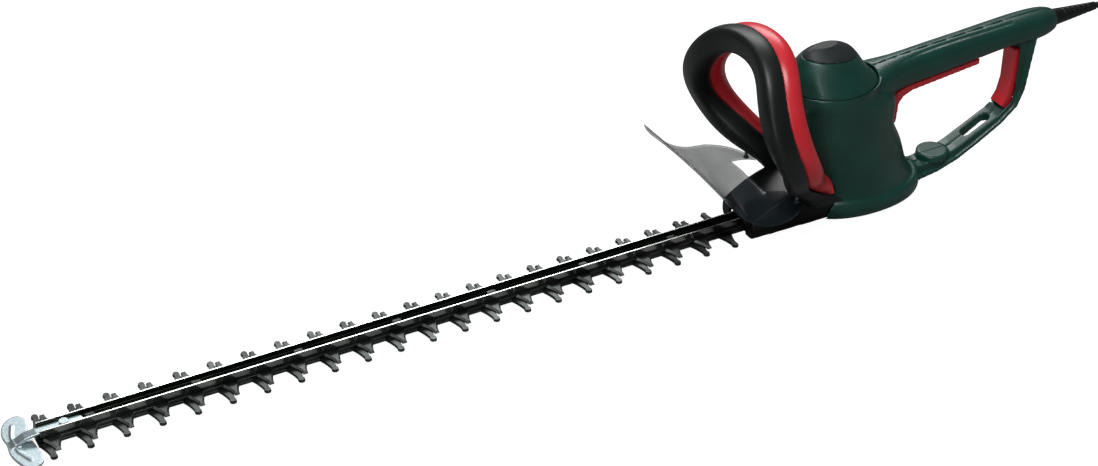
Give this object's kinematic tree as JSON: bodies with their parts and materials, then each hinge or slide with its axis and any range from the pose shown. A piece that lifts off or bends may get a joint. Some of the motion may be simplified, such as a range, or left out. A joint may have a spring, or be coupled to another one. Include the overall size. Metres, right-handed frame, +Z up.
{
  "type": "hedge trimmer",
  "caption": "Corded electric hedge trimmer: double-sided toothed blade, loop front handle with switch bail, clear hand guard, motor body, D-shaped rear handle.",
  "frame": {"origin": "centre of the gearbox underside, on the face it rests on", "axes": "+X towards the rear handle and along the blade's length, +Y across to the right-hand side, +Z up"},
  "size_m": [1.3707, 0.2401, 0.2327],
  "materials": {
    "green_shell": "satin moulded",
    "black_grip": "soft satin",
    "black_plastic": "fine texture",
    "red_plastic": "satin moulded",
    "smoked_clear": "polished clear moulding",
    "ground_steel": "ground",
    "polished_rail": "polished",
    "zinc_plate": "bright zinc",
    "gear_steel": "machined",
    "cast_plate": "die cast",
    "bronze": "sintered",
    "laminations": "stacked sheet",
    "copper_wire": "enamelled wire",
    "carbon": "pressed carbon",
    "fan_plastic": "moulded",
    "grey_film": "moulded",
    "felt": "felt",
    "cord_rubber": "smooth rubber",
    "plug_nickel": "nickel plated"
  },
  "bodies": {
    "root": {"bail_switch": "black_plastic", "bearing_plate": "cast_plate", "blade_bushes": "zinc_plate", "blade_nuts": "zinc_plate", "blade_screws": "zinc_plate", "bottom_cover": "black_plastic", "brush_carrier": "black_plastic", "brush_holders": "black_plastic", "brush_springs": "gear_steel", "carbon_brushes": "carbon", "comb_blade": "ground_steel", "cord_clamp": "black_plastic", "cover_screws": "zinc_plate", "field_windings": "copper_wire", "front_handle": "black_grip", "gear_bushes": "bronze", "gear_housing": "black_plastic", "grip_switch": "black_plastic", "guard_screws": "zinc_plate", "guide_rail": "polished_rail", "hand_guard": "smoked_clear", "hood_cap": "black_plastic", "housing_left": "green_shell", "housing_right": "green_shell", "housing_screws": "zinc_plate", "inner_lead": "cord_rubber", "lower_bearing": "gear_steel", "motor_hood": "green_shell", "noise_capacitor": "grey_film", "plug_body": "cord_rubber", "plug_pins": "plug_nickel", "power_cord": "cord_rubber", "rear_switch": "black_plastic", "stator_core": "laminations", "strain_relief": "black_grip", "tip_guard": "zinc_plate", "tip_guard_screw": "zinc_plate", "upper_bearing": "gear_steel", "wiper_felt": "felt"},
    "cutter": {"cutter_blade": "ground_steel", "rod_pin": "gear_steel"},
    "rod": {"connecting_rod": "gear_steel"},
    "gear": {"drive_gear": "gear_steel", "gear_shaft": "gear_steel", "crank_pin": "gear_steel", "gear_clip": "gear_steel"},
    "rotor": {"rotor_shaft": "gear_steel", "rotor_core": "laminations", "rotor_windings": "copper_wire", "commutator": "copper_wire", "cooling_fan": "fan_plastic", "pinion": "gear_steel"},
    "bail": {"switch_bail": "red_plastic"},
    "grip_trigger": {"grip_trigger": "red_plastic"},
    "rear_trigger": {"rear_trigger": "red_plastic"}
  },
  "joints": [
    {"name": "cutter_slide", "type": "slide", "parent": "root", "child": "cutter", "axis": [1, 0, 0], "range_m": [-0.0181, 0.0059]},
    {"name": "rod_swing", "type": "hinge", "parent": "cutter", "child": "rod", "pos_m": [-0.1129, 0, 0.011], "axis": [0, 0, 1], "range_deg": [-26.55, 1.22]},
    {"name": "rotor_spin", "type": "hinge", "parent": "root", "child": "rotor", "pos_m": [-0.038, 0, 0.09], "axis": [0, 0, 1], "continuous": true},
    {"name": "gear_spin", "type": "hinge", "parent": "root", "child": "gear", "pos_m": [-0.069, 0, 0.03], "axis": [0, 0, 1], "continuous": true},
    {"name": "bail_press", "type": "slide", "parent": "root", "child": "bail", "axis": [-1, 0, 0], "range_m": [0, 0.004], "stiffness_N_per_m": 1500, "springref_m": -0.004},
    {"name": "grip_trigger_press", "type": "slide", "parent": "root", "child": "grip_trigger", "axis": [0, 0, 1], "range_m": [0, 0.005], "stiffness_N_per_m": 800, "springref_m": -0.004},
    {"name": "rear_trigger_press", "type": "slide", "parent": "root", "child": "rear_trigger", "axis": [1, 0, 0], "range_m": [0, 0.004], "stiffness_N_per_m": 800, "springref_m": -0.004}
  ],
  "couplings": [
    {"joint": "gear_spin", "follows": "rotor_spin", "ratio": -0.16981}
  ]
}
